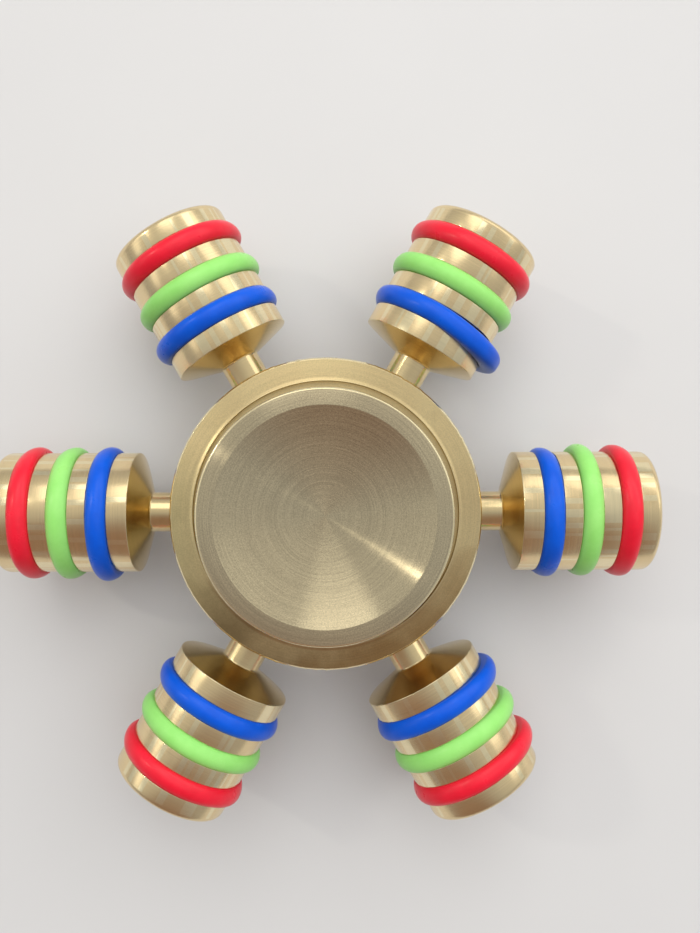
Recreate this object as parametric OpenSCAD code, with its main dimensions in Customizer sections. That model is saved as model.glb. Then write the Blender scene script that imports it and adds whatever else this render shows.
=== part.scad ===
// Six-arm fidget spinner: two screwed finger caps hold the inner race of an R188
// ball bearing, and a brass hub with six screwed-in weights turns on its outer race.
// Each weight carries three coloured O-rings. Millimetres, +Z up, standing on the
// rim of the bottom cap, with the spin axis on Z and weight 1 on +X.

/* [Overall] */
// Distance across two opposite weights
span_d = 60; // [60:1:66]
// Height over both finger caps
total_h = 18.5; // [17:0.5:20]
// Number of weights around the hub
weight_count = 6; // [3:1:6]

/* [Hub] */
// Diameter of the hub
hub_d = 28.2; // [26:0.2:29]
// Height of the hub
hub_h = 8.6; // [8.2:0.1:10]
// Diameter of the recess that each finger cap sits in
recess_d = 24; // [23:0.5:24.5]
// Depth of that recess
recess_depth = 0.5; // [0.4:0.1:1]

/* [Finger caps] */
// Diameter of each finger cap
cap_d = 22; // [20:0.2:22.4]
// Diameter of the dished finger pad
dish_d = 19.4; // [16:0.2:19.8]
// Depth of the dish at its centre
dish_depth = 1.8; // [0.5:0.1:2.2]

/* [Weights] */
// Diameter of each weight
weight_d = 11.2; // [10.8:0.1:12]
// Length of each weight's barrel
weight_len = 12.4; // [11.4:0.1:12.8]
// Diameter of the neck between hub and weight
neck_d = 3.7; // [3.4:0.1:4.4]
// Height of the cone on a weight's inner face
cone_h = 1.2; // [0.8:0.1:1.4]

/* [O-rings] */
// Thickness of each O-ring
oring_cs = 2; // [1.8:0.1:2.1]
// Diameter of the groove's root
groove_root_d = 8.3; // [7.8:0.1:8.6]
// Distance from one O-ring to the next
groove_pitch = 3.45; // [3.2:0.05:3.6]

/* [Hidden] */
$fn = 96;
fit_gap = 0.01;                            // radial gap of a close fit
mid_z = total_h / 2;                       // height of the plane of the weights
ring_names = ["blue", "green", "red"];     // from the hub outwards
ring_colours = ["#0a5be0", "#86e05a", "#f01e3c"];
brass = "#c4ae78";
steel = "#b9bcc0";

// R188 bearing: 6.35 x 12.7 x 4.762 mm with ten 1/16 inch balls
race_bore_r = 6.35 / 2;
race_outer_r = 12.7 / 2;
bearing_w = 4.762;
ball_r = 1.588 / 2;
ball_count = 10;
pitch_r = (race_bore_r + race_outer_r) / 2;
ball_gap = 0.01;                           // between a ball and each raceway's root
raceway_r = 0.82;                          // radius of the raceway's arc
inner_land_r = 4.15;
outer_land_r = 5.38;
shield_t = 0.2;
shield_seat_r = 5.75;
shield_seat_z = 1.8;                       // the shield's inner side, from the mid plane
shield_bore_r = 4.3;
snap_wire_r = 0.12;
snap_gap_angle = 30;
cage_in_r = 4.4;
cage_out_r = 5.14;
cage_back_z = 1.1;                         // closed back of the crown
cage_tip_z = -0.2;                         // its open tips
pocket_r = ball_r + 0.05;

// Hub
hub_r = hub_d / 2;
recess_r = recess_d / 2;
edge_c = 0.2;                              // chamfer on turned edges
shoulder_r = 5.7;                          // lip that the outer race rests on
spotface_depth = 0.3;
neck_seat_x = hub_r - spotface_depth;      // where each neck seats, from the spin axis

// Weights, measured from the spin axis along the arm
weight_r = weight_d / 2;
neck_r = neck_d / 2;
weight_end_x = span_d / 2;
weight_face_x = weight_end_x - weight_len;
end_c = 0.35;                              // chamfer round the outer end
stud_r = 3 / 2;                            // M3
stud_len = 4.5;
stud_c = 0.3;
hole_extra = 0.8;                          // tapped hole beyond the stud's tip
groove_root_r = groove_root_d / 2;
groove_w = 0.9 * oring_cs;                 // the groove pinches the O-ring
oring_centre_r = groove_root_r + oring_cs / 2 + fit_gap;

// Finger caps, measured from the mid plane
cap_r = cap_d / 2;
dish_r = dish_d / 2;
dish_curve_r = (dish_r * dish_r + dish_depth * dish_depth) / (2 * dish_depth);
cap_lift = 0.3;                            // running gap over the recess floor
cap_under_z = hub_h / 2 - recess_depth + cap_lift;
cap_top_z = total_h / 2;
boss_r = 4;                                // shoulder against the inner race
spigot_r = race_bore_r - fit_gap;
spigot_gap = 0.15;                         // from each spigot's end to the mid plane
axle_r = 4 / 2;                            // M4 axle thread
axle_len = 4.6;                            // male thread below the mid plane
axle_hole_len = 5.4;                       // female thread below the mid plane

// Moves children from the mid plane to their height
module at_mid() { translate([0, 0, mid_z]) children(); }

// Turns children that are drawn along +Z from the spin axis into arm i
module at_arm(i) {
    at_mid() rotate([0, 0, 360 / weight_count * (i - 1)]) rotate([0, 90, 0]) children();
}

// Section of the hub, centred on the mid plane
module hub_section() {
    half = hub_h / 2;
    difference() {
        polygon([[0, -half], [hub_r - edge_c, -half], [hub_r, edge_c - half],
                 [hub_r, half - edge_c], [hub_r - edge_c, half], [0, half]]);
        for (side = [-1, 1])
            polygon([[0, side * (half - recess_depth)],
                     [recess_r, side * (half - recess_depth)],
                     [recess_r, side * (half - edge_c)],
                     [recess_r + edge_c, side * half],
                     [recess_r + edge_c, side * (half + 1)],
                     [0, side * (half + 1)]]);
        translate([0, -hub_h]) square([shoulder_r, 2 * hub_h]);
        translate([0, -bearing_w / 2]) square([race_outer_r + fit_gap, hub_h]);
    }
}

// Brass ring with the bearing seat, a recess for each cap and the tapped arm holes
module hub() {
    color(brass) difference() {
        at_mid() rotate_extrude() hub_section();
        for (i = [1 : weight_count]) at_arm(i) {
            translate([0, 0, neck_seat_x - stud_len - hole_extra])
                cylinder(r = stud_r + fit_gap, h = stud_len + hole_extra + 1);
            translate([0, 0, neck_seat_x]) cylinder(r = neck_r + 0.05, h = 2);
        }
    }
}

// Section of a finger cap from its spigot to its rim, above the mid plane
module cap_section() {
    difference() {
        polygon([[0, spigot_gap], [spigot_r, spigot_gap], [spigot_r, bearing_w / 2],
                 [boss_r, bearing_w / 2], [boss_r, cap_under_z],
                 [cap_r - edge_c, cap_under_z], [cap_r, cap_under_z + edge_c],
                 [cap_r, cap_top_z - edge_c], [cap_r - edge_c, cap_top_z], [0, cap_top_z]]);
        translate([0, cap_top_z - dish_depth + dish_curve_r]) circle(r = dish_curve_r);
    }
}

// Finger cap with the male axle thread
module top_cap() {
    color(brass) at_mid() rotate_extrude() {
        cap_section();
        polygon([[0, -axle_len], [axle_r - stud_c, -axle_len],
                 [axle_r, stud_c - axle_len], [axle_r, spigot_gap + 1],
                 [0, spigot_gap + 1]]);
    }
}

// Finger cap with the female axle thread
module bottom_cap() {
    color(brass) at_mid() difference() {
        rotate_extrude() mirror([0, 1]) cap_section();
        translate([0, 0, -axle_hole_len]) cylinder(r = axle_r + fit_gap, h = axle_hole_len + 1);
    }
}

// Outer race, with a raceway and a seat for a shield at each end
module bearing_outer_race() {
    color(steel) at_mid() rotate_extrude() difference() {
        translate([outer_land_r, -bearing_w / 2])
            square([race_outer_r - outer_land_r, bearing_w]);
        translate([pitch_r + ball_r + ball_gap - raceway_r, 0]) circle(r = raceway_r);
        for (side = [0, 1]) mirror([0, side])
            translate([0, shield_seat_z]) square([shield_seat_r, bearing_w]);
    }
}

// Inner race, clamped between the two caps
module bearing_inner_race() {
    color(steel) at_mid() rotate_extrude() difference() {
        translate([race_bore_r, -bearing_w / 2])
            square([inner_land_r - race_bore_r, bearing_w]);
        translate([pitch_r - ball_r - ball_gap + raceway_r, 0]) circle(r = raceway_r);
    }
}

// Spheres of radius r at the places of the balls
module at_balls(r) {
    for (k = [0 : ball_count - 1])
        rotate([0, 0, 360 / ball_count * k]) translate([pitch_r, 0, 0]) sphere(r = r);
}

module bearing_balls() { color(steel) at_mid() at_balls(ball_r); }

// Crown retainer: a closed ring above the balls, with fingers between them
module bearing_cage() {
    color("#c9b27a") at_mid() difference() {
        rotate_extrude() translate([cage_in_r, cage_tip_z])
            square([cage_out_r - cage_in_r, cage_back_z - cage_tip_z]);
        at_balls(pocket_r);
    }
}

// Flat steel washer that closes one end of the bearing; side is 1 for the top, -1 for the bottom
module bearing_shield(side) {
    color(steel) at_mid() rotate_extrude()
        translate([shield_bore_r, side > 0 ? shield_seat_z : -shield_seat_z - shield_t])
            square([shield_seat_r - fit_gap - shield_bore_r, shield_t]);
}

// Open wire ring that keeps a shield in its seat
module snap_ring(side) {
    color(steel) at_mid()
        translate([0, 0, side * (shield_seat_z + shield_t + snap_wire_r)])
            rotate([0, 0, snap_gap_angle / 2]) rotate_extrude(angle = 360 - snap_gap_angle)
                translate([shield_seat_r - fit_gap - snap_wire_r, 0]) circle(r = snap_wire_r);
}

// Distance of O-ring k from the spin axis, with k counted from the hub
function ring_x(k) = (weight_face_x + weight_end_x) / 2 + (k - 1) * groove_pitch;

// Turned weight with its neck and M3 stud in one piece, drawn along +Z
module weight() {
    color(brass) rotate_extrude() difference() {
        polygon([[0, neck_seat_x - stud_len], [stud_r - stud_c, neck_seat_x - stud_len],
                 [stud_r, neck_seat_x - stud_len + stud_c], [stud_r, neck_seat_x],
                 [neck_r, neck_seat_x], [neck_r, weight_face_x - cone_h],
                 [weight_r, weight_face_x], [weight_r, weight_end_x - end_c],
                 [weight_r - end_c, weight_end_x], [0, weight_end_x]]);
        for (k = [0 : 2])
            translate([groove_root_r, ring_x(k) - groove_w / 2]) square([weight_r, groove_w]);
    }
}

// O-ring k of a weight, with its flanks pressed flat by the groove
module o_ring(k) {
    color(ring_colours[k]) translate([0, 0, ring_x(k)]) rotate_extrude() intersection() {
        translate([oring_centre_r, 0]) circle(r = oring_cs / 2);
        translate([0, fit_gap - groove_w / 2]) square([2 * weight_r, groove_w - 2 * fit_gap]);
    }
}

hub();
top_cap();
bottom_cap();
bearing_outer_race();
bearing_inner_race();
bearing_balls();
bearing_cage();
bearing_shield(1);  // bearing_top_shield
bearing_shield(-1);  // bearing_bottom_shield
snap_ring(1);  // top_snap_ring
snap_ring(-1);  // bottom_snap_ring
for (i = [1 : weight_count]) {
    at_arm(i) weight();
    for (k = [0 : 2])
        at_arm(i) o_ring(k);
}
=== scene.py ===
"""A brass fidget spinner with coloured O-rings, standing on a pale studio floor."""
import math
import random

import bmesh
import bpy
from mathutils import Matrix, Vector


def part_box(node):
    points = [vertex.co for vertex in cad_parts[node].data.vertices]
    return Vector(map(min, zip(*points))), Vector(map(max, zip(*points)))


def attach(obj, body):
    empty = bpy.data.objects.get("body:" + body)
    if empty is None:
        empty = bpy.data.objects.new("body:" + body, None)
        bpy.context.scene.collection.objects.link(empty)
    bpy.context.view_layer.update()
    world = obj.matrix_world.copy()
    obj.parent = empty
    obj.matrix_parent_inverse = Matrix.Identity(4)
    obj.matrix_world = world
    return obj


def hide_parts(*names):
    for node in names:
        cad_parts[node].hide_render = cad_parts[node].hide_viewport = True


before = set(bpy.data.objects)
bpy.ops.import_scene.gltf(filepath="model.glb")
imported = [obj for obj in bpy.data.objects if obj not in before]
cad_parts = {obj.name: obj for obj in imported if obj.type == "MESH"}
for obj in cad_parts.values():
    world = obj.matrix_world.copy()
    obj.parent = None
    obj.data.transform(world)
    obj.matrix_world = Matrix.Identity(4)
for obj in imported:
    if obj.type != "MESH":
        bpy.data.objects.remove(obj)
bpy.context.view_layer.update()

MM = 0.001
ARMS = range(1, 7)
RING_COLOURS = ("blue", "green", "red")

# ---- sizes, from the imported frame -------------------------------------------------


def size(node):
    """Extent of a CAD node along X, Y and Z."""
    low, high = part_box(node)
    return high - low


hub_low, hub_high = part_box("hub")
MID_Z = (hub_low.z + hub_high.z) / 2
HUB_R = size("hub").x / 2
HUB_HALF = size("hub").z / 2
CAP_R = size("top_cap").x / 2
CAP_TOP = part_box("top_cap")[1].z - MID_Z
AXLE_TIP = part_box("top_cap")[0].z - MID_Z
WEIGHT_R = size("weight_1").y / 2
WEIGHT_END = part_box("weight_1")[1].x
STUD_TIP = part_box("weight_1")[0].x
RACE_HALF = size("bearing_outer_race").z / 2
RACE_OUTER_R = size("bearing_outer_race").x / 2
RING_R = size("o_ring_blue_1").y / 2
RING_WIDTH = size("o_ring_blue_1").x
RING_X = [sum(corner.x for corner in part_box(f"o_ring_{colour}_1")) / 2 for colour in RING_COLOURS]

RECESS_R = 12.0 * MM
RECESS_DEPTH = 0.5 * MM
SHOULDER_R = 5.7 * MM
DISH_R = 9.49 * MM
DISH_DEPTH = 1.8 * MM
CAP_LIFT = 0.3 * MM
BOSS_R = 4.0 * MM
SPIGOT_R = 3.165 * MM
SPIGOT_GAP = 0.15 * MM
AXLE_R = 2.0 * MM
AXLE_HOLE = 5.4 * MM
FIT = 0.01 * MM
# A face or point this near a surface counts as lying on it
NEAR = 0.01 * MM
WEIGHT_LEN = 12.4 * MM
CONE_H = 1.2 * MM
NECK_R = 1.85 * MM
NECK_SEAT = HUB_R - 0.3 * MM
STUD_R = 1.5 * MM
ROOT_R = 4.15 * MM
RING_SECTION_R = 1.0 * MM

# Small shapes that only the eye needs
HUB_FACE_FALL = 0.22 * MM
HUB_EDGE = 0.14 * MM
# (distance out from the recess, fall below the lip's top)
RECESS_LIP = ((0.03 * MM, 0.0), (0.16 * MM, 0.070 * MM), (0.36 * MM, 0.120 * MM))
CAP_RIM_FALL = 0.05 * MM
LIP_ROUND = 0.07 * MM
END_ROUND = 0.55 * MM
CAP_ROUND = 0.20 * MM
HUB_BURR = 0.05 * MM
LIP_BURR = 0.014 * MM
BURR_SHARE = 0.3
# A burr moves the points of the outline that lie this close to its edge
BURR_REACH = 0.1 * MM
# Room round each neck where it enters the hub
BORE_ROOM = 0.05 * MM
# How far the hub's burnished rim reaches in and down, and how deep the weights' turned end face goes
RIM_BAND_WIDTH = 0.16 * MM
RIM_BAND_HEIGHT = 0.17 * MM
END_DEPTH = 0.3 * MM

# How finely the pieces are drawn
HUB_SEGMENTS = 288
CAP_SEGMENTS = 288
WEIGHT_SEGMENTS = 144
RING_SEGMENTS = 160
CUTTER_SEGMENTS = 48
FILLET_STEPS = 6
WEIGHT_FILLET_STEPS = 5
DISH_STEPS = 24
RING_STEPS = 40

# ---- mesh building ------------------------------------------------------------------


def rounded(corners, steps):
    """Outline through (radius, height, fillet) corners, with an arc wherever there is a fillet."""
    outline = []
    for k, (radius, height, fillet) in enumerate(corners):
        here = Vector((radius, height))
        if not fillet:
            outline.append(here)
            continue
        back = (Vector(corners[k - 1][:2]) - here).normalized()
        ahead = (Vector(corners[(k + 1) % len(corners)][:2]) - here).normalized()
        half = back.angle(ahead) / 2
        centre = here + (back + ahead).normalized() * fillet / math.sin(half)
        start = here + back * fillet / math.tan(half) - centre
        end = here + ahead * fillet / math.tan(half) - centre
        turn = math.atan2(start.x * end.y - start.y * end.x, start.dot(end))
        for s in range(steps + 1):
            a = turn * s / steps
            arm = Vector((start.x * math.cos(a) - start.y * math.sin(a),
                          start.x * math.sin(a) + start.y * math.cos(a)))
            outline.append(centre + arm)
    return outline


def lathe(name, outline, segments, warp=None, sharp=40):
    """A closed solid of revolution about local Z, from an outline of (radius, height) points.

    warp(radius, height, angle) may return a moved (radius, height). Points on the axis become one vertex.
    Edges that turn by more than sharp degrees are shaded as sharp ones.
    """
    bm = bmesh.new()
    columns = []
    on_axis = [radius < 1e-7 for radius, _ in outline]
    poles = {k: bm.verts.new((0, 0, outline[k][1])) for k in range(len(outline)) if on_axis[k]}
    for s in range(segments):
        angle = 2 * math.pi * s / segments
        column = []
        for k, (radius, height) in enumerate(outline):
            if on_axis[k]:
                column.append(poles[k])
                continue
            if warp:
                radius, height = warp(radius, height, angle)
            column.append(bm.verts.new((radius * math.cos(angle), radius * math.sin(angle), height)))
        columns.append(column)
    uv = bm.loops.layers.uv.new("turned")
    lengths = [0.0]
    for k in range(1, len(outline) + 1):
        lengths.append(lengths[-1] + (Vector(outline[k % len(outline)]) - Vector(outline[k - 1])).length)
    for s in range(segments):
        here, there = columns[s], columns[(s + 1) % segments]
        for k in range(len(outline)):
            n = (k + 1) % len(outline)
            corners = [(here[k], s, k), (there[k], s + 1, k), (there[n], s + 1, k + 1), (here[n], s, k + 1)]
            kept = []
            for vert, u, v in corners:
                if vert not in [c[0] for c in kept]:
                    kept.append((vert, u, v))
            if len(kept) < 3:
                continue
            face = bm.faces.new([c[0] for c in kept])
            face.smooth = True
            for loop, (vert, u, v) in zip(face.loops, kept):
                loop[uv].uv = (u / segments, lengths[v] / lengths[-1])
    bmesh.ops.recalc_face_normals(bm, faces=bm.faces)
    for edge in bm.edges:
        if len(edge.link_faces) == 2 and edge.calc_face_angle(0) > math.radians(sharp):
            edge.smooth = False
    mesh = bpy.data.meshes.new(name)
    bm.to_mesh(mesh)
    bm.free()
    obj = bpy.data.objects.new(name, mesh)
    bpy.context.scene.collection.objects.link(obj)
    return obj


def even_normals(obj):
    """Keeps flat faces flat beside small fillets."""
    mod = obj.modifiers.new("even_normals", "WEIGHTED_NORMAL")
    mod.keep_sharp = True
    mod.weight = 100


def burrs(edges, count, depth, rng):
    """Warp for a lathe of count segments, with burrs at some of the places along its edges.

    edges are (radius, height) points of the outline.
    """
    def row_of_burrs():
        return [rng.uniform(-1, 1) * depth if rng.random() < BURR_SHARE else 0.0 for _ in range(count)]

    sizes = [row_of_burrs() for _ in edges]

    def warp(radius, height, angle):
        place_round = round(angle * count / (2 * math.pi)) % count
        for (edge_radius, edge_height), row in zip(edges, sizes):
            if math.hypot(radius - edge_radius, height - edge_height) < BURR_REACH:
                return radius + row[place_round], height + row[place_round] / 2
        return radius, height

    return warp


def paint_band(obj, material, radii, heights):
    """Gives another of the piece's materials to the faces between two radii and two heights.

    Heights count from the piece's middle, up or down alike.
    """
    index = obj.data.materials.find(material.name)
    for polygon in obj.data.polygons:
        x, y, z = polygon.center
        if radii[0] < math.hypot(x, y) < radii[1] and heights[0] < abs(z) < heights[1]:
            polygon.material_index = index


def place(obj, matrix, body, node, slot, *materials):
    """Puts a piece where its CAD node is, on that node's body."""
    obj.matrix_world = matrix
    for material in materials:
        obj.data.materials.append(material)
    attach(obj, body)
    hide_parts(node)
    return obj


def arm_matrix(arm, roll=0.0):
    """Local Z along arm number arm, from the spin axis outwards. roll is in radians about that axis."""
    return (Matrix.Translation((0, 0, MID_Z)) @ Matrix.Rotation(math.radians(60 * (arm - 1)), 4, "Z")
            @ Matrix.Rotation(math.radians(90), 4, "Y") @ Matrix.Rotation(roll, 4, "Z"))


# ---- materials -------------------------------------------------------------------------

# Noise scales are in cycles per metre


class Nodes:
    """Short names for the node types that the materials use."""

    def __init__(self, name, world=None):
        self.material = world or bpy.data.materials.new(name)
        self.material.use_nodes = True
        self.tree = self.material.node_tree
        self.shader = self.tree.nodes["Background" if world else "Principled BSDF"]

    def add(self, kind, inputs=None, **settings):
        node = self.tree.nodes.new("ShaderNode" + kind)
        for key, value in settings.items():
            setattr(node, key, value)
        for key, value in (inputs or {}).items():
            self.feed(node.inputs[key], value)
        return node

    def feed(self, socket, value):
        if isinstance(value, bpy.types.NodeSocket):
            self.tree.links.new(value, socket)
        else:
            socket.default_value = value

    def math(self, operation, *values):
        return self.add("Math", dict(enumerate(values)), operation=operation).outputs[0]

    def object_point(self, shifted=False):
        """Object coordinates. shifted gives each object its own piece of a noise pattern."""
        point = self.add("TexCoord").outputs["Object"]
        if not shifted:
            return point
        place_in_noise = self.add("ObjectInfo").outputs["Random"]
        return self.add("VectorMath", {0: point, 1: place_in_noise}, operation="ADD").outputs[0]

    def noise(self, vector, scale, detail=2.0, roughness=0.5):
        values = {"Vector": vector, "Scale": scale, "Detail": detail, "Roughness": roughness}
        return self.add("TexNoise", values).outputs["Fac"]

    def ramp(self, value, *stops):
        """Maps value through (position, colour or grey) stops."""
        node = self.add("ValToRGB", {"Fac": value})
        elements = node.color_ramp.elements
        while len(elements) < len(stops):
            elements.new(0.5)
        for element, (position, colour) in zip(elements, stops):
            element.position = position
            element.color = (*colour, 1) if isinstance(colour, tuple) else (colour, colour, colour, 1)
        return node.outputs["Color"]

    def mix(self, factor, a, b, blend="MIX"):
        node = self.add("Mix", data_type="RGBA", blend_type=blend)
        self.feed(node.inputs[0], factor)
        self.feed(node.inputs[6], a if isinstance(a, bpy.types.NodeSocket) else (*a, 1))
        self.feed(node.inputs[7], b if isinstance(b, bpy.types.NodeSocket) else (*b, 1))
        return node.outputs[2]

    def bump(self, height, distance, strength=1.0, normal=None):
        values = {"Height": height, "Distance": distance, "Strength": strength}
        if normal:
            values["Normal"] = normal
        return self.add("Bump", values).outputs["Normal"]


def turned_brass(name, colour, tarnish, roughness, anisotropy, line_pitch, line_depth, tarnish_amount=0.35,
                 speckle=0.0, unevenness=0.12, grain_depth=0.6, line_shade=0.86, tarnish_and_shade=()):
    """Lathe-turned brass: circumferential tool lines, a brushed highlight across them, and light tarnish.

    line_shade is the tone in the tool lines, speckle how much darker the grain is, grain_depth the grain's
    height as a share of the lines', and unevenness how far the roughness strays from line to line.
    Side patches, each (azimuth, amount, colour), spread on the hub's face on that side: some tarnish, some
    painted shade.
    """
    n = Nodes(name)
    point = n.object_point()
    parts = n.add("SeparateXYZ", {0: point}).outputs
    flat = n.add("CombineXYZ", {"X": parts["X"], "Y": parts["Y"]}).outputs[0]
    radius = n.add("VectorMath", {0: flat}, operation="LENGTH").outputs["Value"]

    # Tool lines run round the axis, on faces and on sides, and fade in and out along their way
    along = n.math("ADD", radius, n.math("MULTIPLY", parts["Z"], 1.37))
    line_point = n.add("CombineXYZ", {
        "X": n.math("MULTIPLY", parts["X"], 110.0),
        "Y": n.math("MULTIPLY", parts["Y"], 110.0),
        "Z": n.math("MULTIPLY", along, 1.0 / line_pitch),
    }).outputs[0]
    lines = n.noise(line_point, 1.0, 3.0, 0.65)
    grain = n.noise(point, 9000.0, 2.0, 0.6)
    cloud = n.noise(point, 160.0, 4.0, 0.55)
    stain = n.noise(point, 420.0, 3.0, 0.6)

    tone = n.mix(n.ramp(cloud, (0.35, 0.0), (0.75, tarnish_amount)), colour, tarnish)
    spots = n.ramp(stain, (0.60, 0.0), (0.78, 0.5 * tarnish_amount))
    tone = n.mix(spots, tone, tuple(channel * 0.62 for channel in tarnish))
    # Each side patch tints the face more towards the rim on its side: tarnish on some sides, painted shade on
    # another
    for azimuth, amount, patch_colour in tarnish_and_shade:
        a = math.radians(azimuth)
        side = n.add("VectorMath", {0: flat, 1: (math.cos(a) / HUB_R, math.sin(a) / HUB_R, 0)},
                     operation="DOT_PRODUCT").outputs["Value"]
        side = n.math("ADD", side, n.math("MULTIPLY", n.math("SUBTRACT", cloud, 0.5), 0.7))
        tone = n.mix(n.ramp(side, (0.62, 0.0), (1.0, amount)), tone, patch_colour)
    shade = n.ramp(lines, (0.30, line_shade), (0.70, 1.0))
    tone = n.mix(1.0, tone, shade, "MULTIPLY")
    tone = n.mix(1.0, tone, n.ramp(grain, (0.36, 1.0 - speckle), (0.64, 1.0)), "MULTIPLY")
    n.feed(n.shader.inputs["Base Color"], tone)

    rough = n.add("MapRange", {"Value": lines, "From Min": 0.3, "From Max": 0.7,
                               "To Min": roughness * (1 - unevenness),
                               "To Max": roughness * (1 + unevenness)}).outputs[0]
    rough = n.math("ADD", rough, n.math("MULTIPLY", grain, 0.05))
    n.feed(n.shader.inputs["Roughness"], rough)
    n.shader.inputs["Metallic"].default_value = 1.0
    n.shader.inputs["Anisotropic"].default_value = anisotropy
    n.shader.inputs["Anisotropic Rotation"].default_value = 0.25
    normal = n.bump(lines, line_depth)
    n.feed(n.shader.inputs["Normal"], n.bump(grain, line_depth * grain_depth, 0.6, normal))
    return n.material


def silicone(name, colour, deep, shine):
    """Smooth coloured rubber with faint mottling and a soft shine."""
    n = Nodes(name)
    point = n.object_point(shifted=True)
    mottle = n.noise(point, 600.0, 3.0, 0.6)
    skin = n.noise(point, 6000.0, 3.0, 0.6)
    n.feed(n.shader.inputs["Base Color"], n.mix(n.ramp(mottle, (0.3, 0.0), (0.7, 0.6)), colour, deep))
    rough = n.add("MapRange", {"Value": mottle, "To Min": 0.22, "To Max": 0.38}).outputs[0]
    n.feed(n.shader.inputs["Roughness"], rough)
    n.shader.inputs["IOR"].default_value = 1.43
    n.shader.inputs["Specular IOR Level"].default_value = shine
    n.feed(n.shader.inputs["Normal"], n.bump(skin, 0.006 * MM, 0.5))
    return n.material


def ground_steel(name, colour, roughness):
    """Bearing steel with fine grinding marks and a trace of oil stain."""
    n = Nodes(name)
    point = n.object_point()
    lines = n.noise(n.add("Mapping", {"Vector": point, "Scale": (1.0, 1.0, 12.0)}).outputs[0], 1500.0, 3.0)
    stain = n.noise(point, 500.0, 3.0)
    stained = tuple(channel * 0.6 for channel in colour)
    n.feed(n.shader.inputs["Base Color"], n.mix(n.ramp(stain, (0.45, 0.0), (0.8, 0.5)), colour, stained))
    least, most = roughness * 0.7, roughness * 1.3
    rough = n.add("MapRange", {"Value": lines, "To Min": least, "To Max": most}).outputs[0]
    n.feed(n.shader.inputs["Roughness"], rough)
    n.shader.inputs["Metallic"].default_value = 1.0
    n.feed(n.shader.inputs["Normal"], n.bump(lines, 0.002 * MM, 0.6))
    return n.material


# (azimuth in degrees, amount, colour) of tarnish patches and painted shade on the hub's face
HUB_TARNISH_AND_SHADE = (
    # Greenish tarnish towards 198 degrees
    (198, 0.45, (0.58, 0.55, 0.28)),
    # A darker brown patch towards 250 degrees
    (250, 0.75, (0.30, 0.21, 0.10)),
    # Painted shade: the cap's dark reflection and soft shadow, laid over the face towards 300 degrees
    (300, 0.90, (0.50, 0.31, 0.13)),
)
HUB_BRASS = turned_brass(
    "hub_brass", (0.96, 0.78, 0.43), (0.70, 0.50, 0.26), roughness=0.34, anisotropy=0.55,
    line_pitch=0.07 * MM, line_depth=0.004 * MM, speckle=0.14, tarnish_and_shade=HUB_TARNISH_AND_SHADE)
CAP_BRASS = turned_brass(
    "cap_brass", (0.80, 0.69, 0.46), (0.62, 0.49, 0.32), roughness=0.20, anisotropy=1.0,
    line_pitch=0.11 * MM, line_depth=0.0038 * MM, tarnish_amount=0.2, speckle=0.22, grain_depth=0.1,
    line_shade=0.78)
BARREL_BRASS = turned_brass(
    "weight_brass", (0.94, 0.76, 0.45), (0.78, 0.56, 0.31), roughness=0.23, anisotropy=0.5,
    line_pitch=0.09 * MM, line_depth=0.0006 * MM, unevenness=0.04)
NECK_BRASS = turned_brass(
    "neck_brass", (0.90, 0.73, 0.42), (0.74, 0.53, 0.26), roughness=0.18, anisotropy=0.3,
    line_pitch=0.10 * MM, line_depth=0.002 * MM)
END_BRASS = turned_brass(
    "end_face_brass", (0.92, 0.74, 0.44), (0.76, 0.55, 0.31), roughness=0.24, anisotropy=0.9,
    line_pitch=0.16 * MM, line_depth=0.004 * MM, grain_depth=0.1, line_shade=0.80)
EDGE_BRASS = turned_brass(
    "burnished_edge", (0.98, 0.86, 0.56), (0.88, 0.70, 0.40), roughness=0.17, anisotropy=0.0,
    line_pitch=0.05 * MM, line_depth=0.001 * MM, tarnish_amount=0.2)
RUBBER = {
    "blue": silicone("blue_rubber", (0.000, 0.102, 0.70), (0.000, 0.070, 0.55), shine=0.36),
    "green": silicone("green_rubber", (0.32, 0.74, 0.19), (0.24, 0.66, 0.13), shine=0.36),
    "red": silicone("red_rubber", (0.82, 0.012, 0.036), (0.66, 0.006, 0.022), shine=0.46),
}

# ---- brass pieces ------------------------------------------------------------------------


def hub_outline():
    """Section of the hub: recesses above and below, bearing seat and the lip that the race rests on.

    The faces round the recesses fall a little towards the rim, from a low lip at each recess edge.
    """
    top, floor = HUB_HALF, HUB_HALF - RECESS_DEPTH
    rim = top - HUB_FACE_FALL
    seat = RACE_OUTER_R + FIT
    edge, half_edge = HUB_EDGE, HUB_EDGE / 2
    side_end = top - 3 * MM
    return rounded([
        (SHOULDER_R, -floor, edge), (RECESS_R, -floor, half_edge), (RECESS_R, -top, 0),
        *[(RECESS_R + out, -top + fall, 0) for out, fall in RECESS_LIP],
        (HUB_R - edge, -rim, half_edge), (HUB_R, -rim + edge, half_edge),
        (HUB_R, -side_end, 0), (HUB_R, side_end, 0),
        (HUB_R, rim - edge, half_edge), (HUB_R - edge, rim, half_edge),
        *[(RECESS_R + out, top - fall, 0) for out, fall in reversed(RECESS_LIP)],
        (RECESS_R, top, 0), (RECESS_R, floor, half_edge), (seat, floor, edge),
        (seat, -RACE_HALF, 0), (SHOULDER_R, -RACE_HALF, 0),
    ], FILLET_STEPS)


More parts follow.
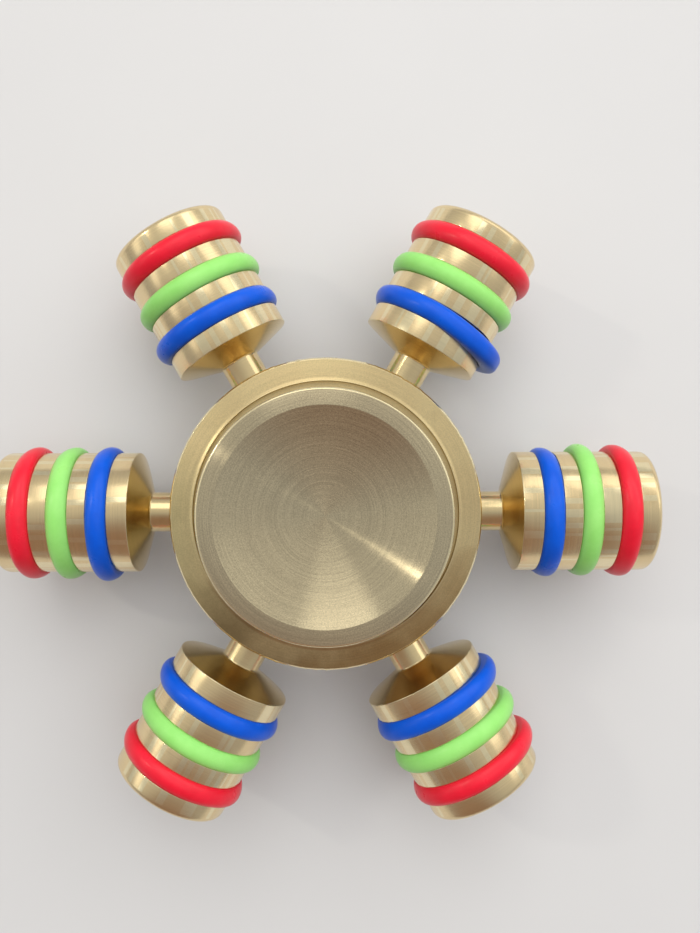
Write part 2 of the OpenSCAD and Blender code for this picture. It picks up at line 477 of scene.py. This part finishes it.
def make_hub():
    rim = HUB_HALF - HUB_FACE_FALL
    bevel_r, bevel_z = HUB_R - HUB_EDGE / 2, rim - HUB_EDGE / 2
    rough_edges = burrs([(bevel_r, bevel_z), (bevel_r, -bevel_z)], HUB_SEGMENTS, HUB_BURR, random.Random(5))
    hub = lathe("spinner_hub", hub_outline(), HUB_SEGMENTS, rough_edges)
    cutters = []
    for arm in ARMS:
        bore_r = NECK_R + BORE_ROOM
        bore = [(0, NECK_SEAT), (bore_r, NECK_SEAT), (bore_r, HUB_R + MM), (0, HUB_R + MM)]
        cutter = lathe("cutter", bore, CUTTER_SEGMENTS)
        cutter.matrix_world = Matrix.Translation((0, 0, -MID_Z)) @ arm_matrix(arm)
        cutters.append(cutter)
    for cutter in cutters:
        mod = hub.modifiers.new("counterbore", "BOOLEAN")
        mod.operation = "DIFFERENCE"
        mod.solver = "EXACT"
        mod.object = cutter
    bpy.context.view_layer.update()
    cut = bpy.data.meshes.new_from_object(hub.evaluated_get(bpy.context.evaluated_depsgraph_get()))
    hub.modifiers.clear()
    hub.data = cut
    for cutter in cutters:
        bpy.data.objects.remove(cutter)
    even_normals(hub)
    place(hub, Matrix.Translation((0, 0, MID_Z)), "rotor", "hub", "hub_brass", HUB_BRASS, EDGE_BRASS)
    crest = RECESS_R + RECESS_LIP[0][0]
    paint_band(hub, EDGE_BRASS, (RECESS_R - NEAR, crest), (HUB_HALF - RECESS_DEPTH + NEAR, HUB_HALF + MM))
    paint_band(hub, EDGE_BRASS, (HUB_R - RIM_BAND_WIDTH, HUB_R + MM), (rim - RIM_BAND_HEIGHT, HUB_HALF))


def dish():
    """Arc of the dished face, from its rim to its centre."""
    radius = (DISH_R ** 2 + DISH_DEPTH ** 2) / (2 * DISH_DEPTH)
    points = []
    for s in range(1, DISH_STEPS + 1):
        r = DISH_R * (1 - s / DISH_STEPS)
        points.append((r, CAP_TOP - DISH_DEPTH + radius - math.sqrt(radius ** 2 - r ** 2), 0))
    return points


def cap_outline(axle):
    """Section of a finger cap from its rim in to its axle. axle closes the outline on the inside."""
    under = HUB_HALF - RECESS_DEPTH + CAP_LIFT
    return rounded([
        *axle,
        (SPIGOT_R, SPIGOT_GAP, 0.1 * MM), (SPIGOT_R, RACE_HALF, 0), (BOSS_R, RACE_HALF, 0.1 * MM),
        (BOSS_R, under, 0), (CAP_R, under, CAP_ROUND), (CAP_R, CAP_TOP - CAP_RIM_FALL, CAP_ROUND),
        (DISH_R, CAP_TOP, 0.03 * MM), *dish(),
    ], FILLET_STEPS)


def make_caps():
    male = [(0, AXLE_TIP, 0), (AXLE_R, AXLE_TIP, 0.3 * MM), (AXLE_R, SPIGOT_GAP, 0)]
    female = [(0, AXLE_HOLE, 0), (AXLE_R + FIT, AXLE_HOLE, 0), (AXLE_R + FIT, SPIGOT_GAP, 0.05 * MM)]
    top = lathe("finger_cap_top", cap_outline(male), CAP_SEGMENTS)
    bottom = lathe("finger_cap_bottom", cap_outline(female), CAP_SEGMENTS)
    flip = Matrix.Rotation(math.pi, 4, "X")
    upright = Matrix.Translation((0, 0, MID_Z))
    place(top, upright, "caps", "top_cap", "cap_brass", CAP_BRASS, EDGE_BRASS)
    place(bottom, upright @ flip, "caps", "bottom_cap", "cap_brass", CAP_BRASS, EDGE_BRASS)
    for cap in (top, bottom):
        even_normals(cap)
        band_foot = CAP_TOP - CAP_RIM_FALL - CAP_ROUND
        paint_band(cap, EDGE_BRASS, (CAP_R - 0.85 * CAP_ROUND, CAP_R), (band_foot, CAP_TOP))


BARREL_FOOT = WEIGHT_END - WEIGHT_LEN
GROOVE_HALF = RING_WIDTH / 2 + FIT
# Each weight is screwed in to another angle, in radians per arm
WEIGHT_ROLL = 1.1


def weight_outline():
    """Section of a weight: stud, neck, cone, a barrel with three grooves, and a turned end with a dimple."""
    face, half, edge = BARREL_FOOT, GROOVE_HALF, LIP_ROUND
    corners = [
        (0, STUD_TIP, 0), (STUD_R, STUD_TIP, 0.25 * MM), (STUD_R, NECK_SEAT, 0), (NECK_R, NECK_SEAT, 0),
        (NECK_R, face - CONE_H, 0.25 * MM), (WEIGHT_R, face, 0.08 * MM),
    ]
    for x in RING_X:
        corners += [(WEIGHT_R, x - half, edge), (ROOT_R, x - half, edge),
                    (ROOT_R, x + half, edge), (WEIGHT_R, x + half, edge)]
    dimple = [(0.5 * MM, WEIGHT_END, 0.1 * MM), (0, WEIGHT_END - 0.25 * MM, 0)]
    corners += [(WEIGHT_R, WEIGHT_END, END_ROUND), *dimple]
    return rounded(corners, WEIGHT_FILLET_STEPS)


def make_weights():
    rng = random.Random(3)
    lips = [(WEIGHT_R, x + side) for x in RING_X for side in (-GROOVE_HALF, GROOVE_HALF)]
    lips.append((WEIGHT_R, BARREL_FOOT))
    for arm in ARMS:
        # The lip under the slipped ring is worn smooth
        slipped = [x for colour, x in zip(RING_COLOURS, RING_X) if (colour, arm) in SLIP]
        worn = [x - GROOVE_HALF for x in slipped]
        sharp_lips = [lip for lip in lips if lip[1] not in worn]
        rough_edges = burrs(sharp_lips, WEIGHT_SEGMENTS, LIP_BURR, rng)
        weight = lathe(f"barrel_weight_{arm}", weight_outline(), WEIGHT_SEGMENTS, rough_edges)
        for material in (BARREL_BRASS, NECK_BRASS, EDGE_BRASS, END_BRASS):
            weight.data.materials.append(material)
        lip_band = (WEIGHT_R - 0.9 * LIP_ROUND, WEIGHT_R - 0.03 * LIP_ROUND)
        paint_band(weight, EDGE_BRASS, lip_band, (BARREL_FOOT, WEIGHT_END - MM))
        paint_band(weight, NECK_BRASS, (0, WEIGHT_R - NEAR), (0, BARREL_FOOT - 2 * NEAR))
        paint_band(weight, END_BRASS, (0, WEIGHT_R - END_ROUND), (WEIGHT_END - END_DEPTH, WEIGHT_END + MM))
        even_normals(weight)
        place(weight, arm_matrix(arm, WEIGHT_ROLL * arm), "rotor", f"weight_{arm}", "weight_brass")


# ---- O-rings -------------------------------------------------------------------------------

# How each O-ring sits: (lean in mm, direction of the lean, proud in mm, direction of the proud side).
# Directions are degrees round the weight, from its top towards its clockwise side seen from above.
SEATING = {
    ("blue", 1): (0.20, 80, -0.16, -80),
    ("green", 1): (0.12, 100, 0.14, -90),
    ("red", 1): (0.22, 85, 0.12, -70),
    ("blue", 2): (0.08, -90, 1.07, 80),
    ("green", 2): (0.05, 60, 0.08, -60),
    ("red", 2): (0.05, 90, 0.05, 30),
    ("blue", 3): (0.08, -60, 0.25, -80),
    ("green", 3): (0.10, -90, 0.05, 60),
    ("red", 3): (0.13, -75, 0.05, 80),
    ("blue", 4): (0.08, -95, 0.26, -75),
    ("green", 4): (0.19, -90, 0.06, -90),
    ("red", 4): (0.17, -80, 0.10, -70),
    ("blue", 5): (0.18, -85, 0.10, 70),
    ("green", 5): (0.06, -60, 0.05, 90),
    ("red", 5): (0.20, -95, 0.06, -90),
    ("blue", 6): (0.25, 85, 0.40, -80),
    ("green", 6): (0.05, 60, 0.24, -85),
    ("red", 6): (0.17, 80, 0.26, -80),
}

# The blue O-ring of weight 2 has half left its groove, and its proud side lies this far towards the hub
SLIP = {("blue", 2): 0.52 * MM}
# The slipped ring's section where it is free: its share of the full width, and how full it is (2 is a circle)
FREE_WIDTH = 0.94
FULLNESS = 2.6
# How far a ring of each colour bulges over its groove's lips
BULGE = {"blue": 0.01 * MM, "green": 0.10 * MM, "red": 0.04 * MM}


def ring_outline(x, bulge):
    """Round section pressed flat between the groove's walls, and bulging a little above them."""
    centre = RING_R - RING_SECTION_R
    points = []
    for s in range(RING_STEPS):
        a = 2 * math.pi * s / RING_STEPS
        radius = centre + RING_SECTION_R * math.cos(a)
        half = RING_WIDTH / 2 + (bulge if radius > WEIGHT_R + 2 * NEAR else 0.0)
        points.append((radius, x + max(-half, min(half, RING_SECTION_R * 1.05 * math.sin(a)))))
    return points


def seated(x, lean, lean_way, proud, proud_way, slip, rng):
    """Warp for the ring at x that leans over its groove's edge on one side and stands proud of it on another.

    Every ring is also slightly wavy. slip moves the proud side towards the hub, where it rests on the barrel.
    """
    lean_way, proud_way = math.radians(lean_way), math.radians(proud_way)
    waves = [(rng.uniform(0.01, 0.03) * MM, turns, rng.uniform(0, 2 * math.pi)) for turns in (2, 3, 5)]

    def warp(radius, height, angle):
        top = max(0.0, (radius - WEIGHT_R) / (RING_R - WEIGHT_R))
        loose = max(0.0, math.cos(angle - proud_way)) ** 1.5
        wave = sum(swing * math.cos(turns * angle + phase) for swing, turns, phase in waves)
        outer = max(0.0, (radius - ROOT_R) / (RING_R - ROOT_R))
        if slip:
            across = (radius - RING_R) / RING_SECTION_R + 1
            free = FREE_WIDTH * RING_SECTION_R * max(0.0, 1 - abs(across) ** FULLNESS) ** (1 / FULLNESS)
            free = math.copysign(free, height - x)
            height += loose * (x + free - height)
        radius += loose * proud * MM + wave * outer
        height += top * (lean * MM * math.cos(angle - lean_way) + wave) - loose * slip
        if height < x - RING_WIDTH / 2 - FIT:
            radius = max(radius, WEIGHT_R + FIT)
        return radius, height

    return warp


def make_rings():
    rng = random.Random(11)
    for arm in ARMS:
        for colour, x in zip(RING_COLOURS, RING_X):
            seat = seated(x, *SEATING[colour, arm], SLIP.get((colour, arm), 0.0), rng)
            section = ring_outline(x, BULGE[colour])
            ring = lathe(f"ring_{colour}_{arm}", section, RING_SEGMENTS, seat, sharp=60)
            place(ring, arm_matrix(arm, math.pi), "rotor", f"o_ring_{colour}_{arm}",
                  f"{colour}_rubber", RUBBER[colour])


# ---- carried-over bearing pieces -----------------------------------------------------------


def paint_bearing():
    race = ground_steel("bearing_steel", (0.56, 0.57, 0.58), 0.22)
    shield = ground_steel("shield_steel", (0.50, 0.51, 0.53), 0.34)
    chrome = ground_steel("ball_chrome", (0.72, 0.72, 0.73), 0.06)
    cage = turned_brass(
        "cage_brass", (0.60, 0.47, 0.24), (0.42, 0.30, 0.16), roughness=0.30, anisotropy=0.2,
        line_pitch=0.1 * MM, line_depth=0.003 * MM)
    finishes = {
        "bearing_outer_race": race,
        "bearing_inner_race": race,
        "top_snap_ring": race,
        "bottom_snap_ring": race,
        "bearing_top_shield": shield,
        "bearing_bottom_shield": shield,
        "bearing_balls": chrome,
        "bearing_cage": cage,
    }
    for node, material in finishes.items():
        for material_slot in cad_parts[node].material_slots:
            material_slot.material = material


# ---- studio --------------------------------------------------------------------------------

# The camera looks down from just above the spinner, a little past its centre. Its angles are in radians,
# and its lens and sensor in millimetres.
CAMERA_SPOT = Vector((1.5, 4.52, 80.65)) * MM
CAMERA_TILT_X, CAMERA_TILT_Y = 0.0033, 0.0087
CAMERA_ROLL = 0.003
CAMERA_LENS = 32.8
CAMERA_SENSOR = 36

# Lights stand this many metres from the spinner
LIGHT_DISTANCE = 0.6
DAYLIGHT = (1.0, 0.97, 0.88)
NORTH_LIGHT = (1.0, 0.98, 0.90)
LAMPLIGHT = (1.0, 0.95, 0.80)


def make_camera():
    data = bpy.data.cameras.new("camera")
    data.lens = CAMERA_LENS
    data.sensor_width = CAMERA_SENSOR
    data.clip_start = MM
    camera = bpy.data.objects.new("camera", data)
    bpy.context.scene.collection.objects.link(camera)
    tilt = Matrix.Rotation(CAMERA_TILT_Y, 4, "Y") @ Matrix.Rotation(CAMERA_TILT_X, 4, "X")
    roll = Matrix.Rotation(-CAMERA_ROLL, 4, "Z")
    spot = Matrix.Translation(CAMERA_SPOT)
    camera.matrix_world = Matrix.Translation((0, 0, MID_Z)) @ roll @ spot @ tilt.transposed()
    bpy.context.scene.camera = camera


def direction(azimuth, off_zenith):
    """Unit vector. azimuth turns from +X towards +Y, off_zenith is from straight above, both in degrees."""
    a, e = math.radians(azimuth), math.radians(off_zenith)
    return Vector((math.sin(e) * math.cos(a), math.sin(e) * math.sin(a), math.cos(e)))


def softbox(name, azimuth, off_zenith, extent, radiance, colour=(1, 1, 1)):
    """An area light aimed at the spinner, of the given (width, height) in metres."""
    data = bpy.data.lights.new(name, "AREA")
    data.shape = "RECTANGLE"
    data.size, data.size_y = extent
    data.energy = radiance * math.pi * extent[0] * extent[1]
    data.color = colour
    light = bpy.data.objects.new(name, data)
    bpy.context.scene.collection.objects.link(light)
    spot = direction(azimuth, off_zenith) * LIGHT_DISTANCE
    light.location = spot + Vector((0, 0, MID_Z))
    light.rotation_euler = spot.to_track_quat("Z", "Y").to_euler()
    return light


def make_floor():
    mesh = bpy.data.meshes.new("floor")
    bm = bmesh.new()
    bmesh.ops.create_grid(bm, x_segments=1, y_segments=1, size=0.6)
    bm.to_mesh(mesh)
    bm.free()
    floor = bpy.data.objects.new("floor", mesh)
    bpy.context.scene.collection.objects.link(floor)
    n = Nodes("floor")
    n.feed(n.shader.inputs["Base Color"],
           n.mix(n.noise(n.object_point(), 30.0, 4.0), (0.60, 0.60, 0.61), (0.64, 0.64, 0.65)))
    n.shader.inputs["Roughness"].default_value = 0.6
    mesh.materials.append(n.material)


def make_sky():
    """A room's dim light: brighter to the north-east, north and north-west, and a dim brown to the south."""
    world = bpy.data.worlds.new("studio")
    bpy.context.scene.world = world
    world.use_nodes = True
    n = Nodes("sky", world)
    way = n.add("TexCoord").outputs["Generated"]

    def towards(azimuth, off_zenith):
        there = direction(azimuth, off_zenith)
        return n.add("VectorMath", {0: way, 1: there}, operation="DOT_PRODUCT").outputs["Value"]

    tone = n.ramp(
        towards(35, 60), (0.0, (0.37, 0.37, 0.38)), (0.55, (0.45, 0.45, 0.45)), (1.0, (0.68, 0.68, 0.65)))
    north_west = n.ramp(towards(149, 50), (0.58, 0.0), (0.95, 0.84))
    tone = n.mix(north_west, tone, (0.64, 0.63, 0.59))
    north = n.ramp(towards(85, 38), (0.70, 0.0), (0.98, 0.8))
    tone = n.mix(north, tone, (0.72, 0.71, 0.67))
    south = n.ramp(towards(-103, 57), (0.66, 0.0), (0.95, 0.85))
    tone = n.mix(south, tone, (0.28, 0.17, 0.12))
    n.feed(n.shader.inputs["Color"], tone)
    n.shader.inputs["Strength"].default_value = 1.0


def make_studio():
    make_floor()
    make_sky()
    softbox("east_window", 42, 61, (0.80, 0.26), 0.83, DAYLIGHT)
    softbox("north_window", 101, 40, (0.27, 0.33), 1.12, NORTH_LIGHT)
    softbox("west_window", 173, 62, (0.38, 0.15), 0.75, DAYLIGHT)
    softbox("lamp", 153, 50, (0.007, 0.05), 240.0, LAMPLIGHT)
    # A wide, shadowless fill that the polished brass doesn't mirror
    fill = softbox("fill", 60, 30, (0.9, 0.9), 1.5)
    fill.visible_glossy = False
    bpy.context.scene.view_settings.view_transform = "Standard"


make_camera()
make_hub()
make_caps()
make_weights()
make_rings()
paint_bearing()
make_studio()
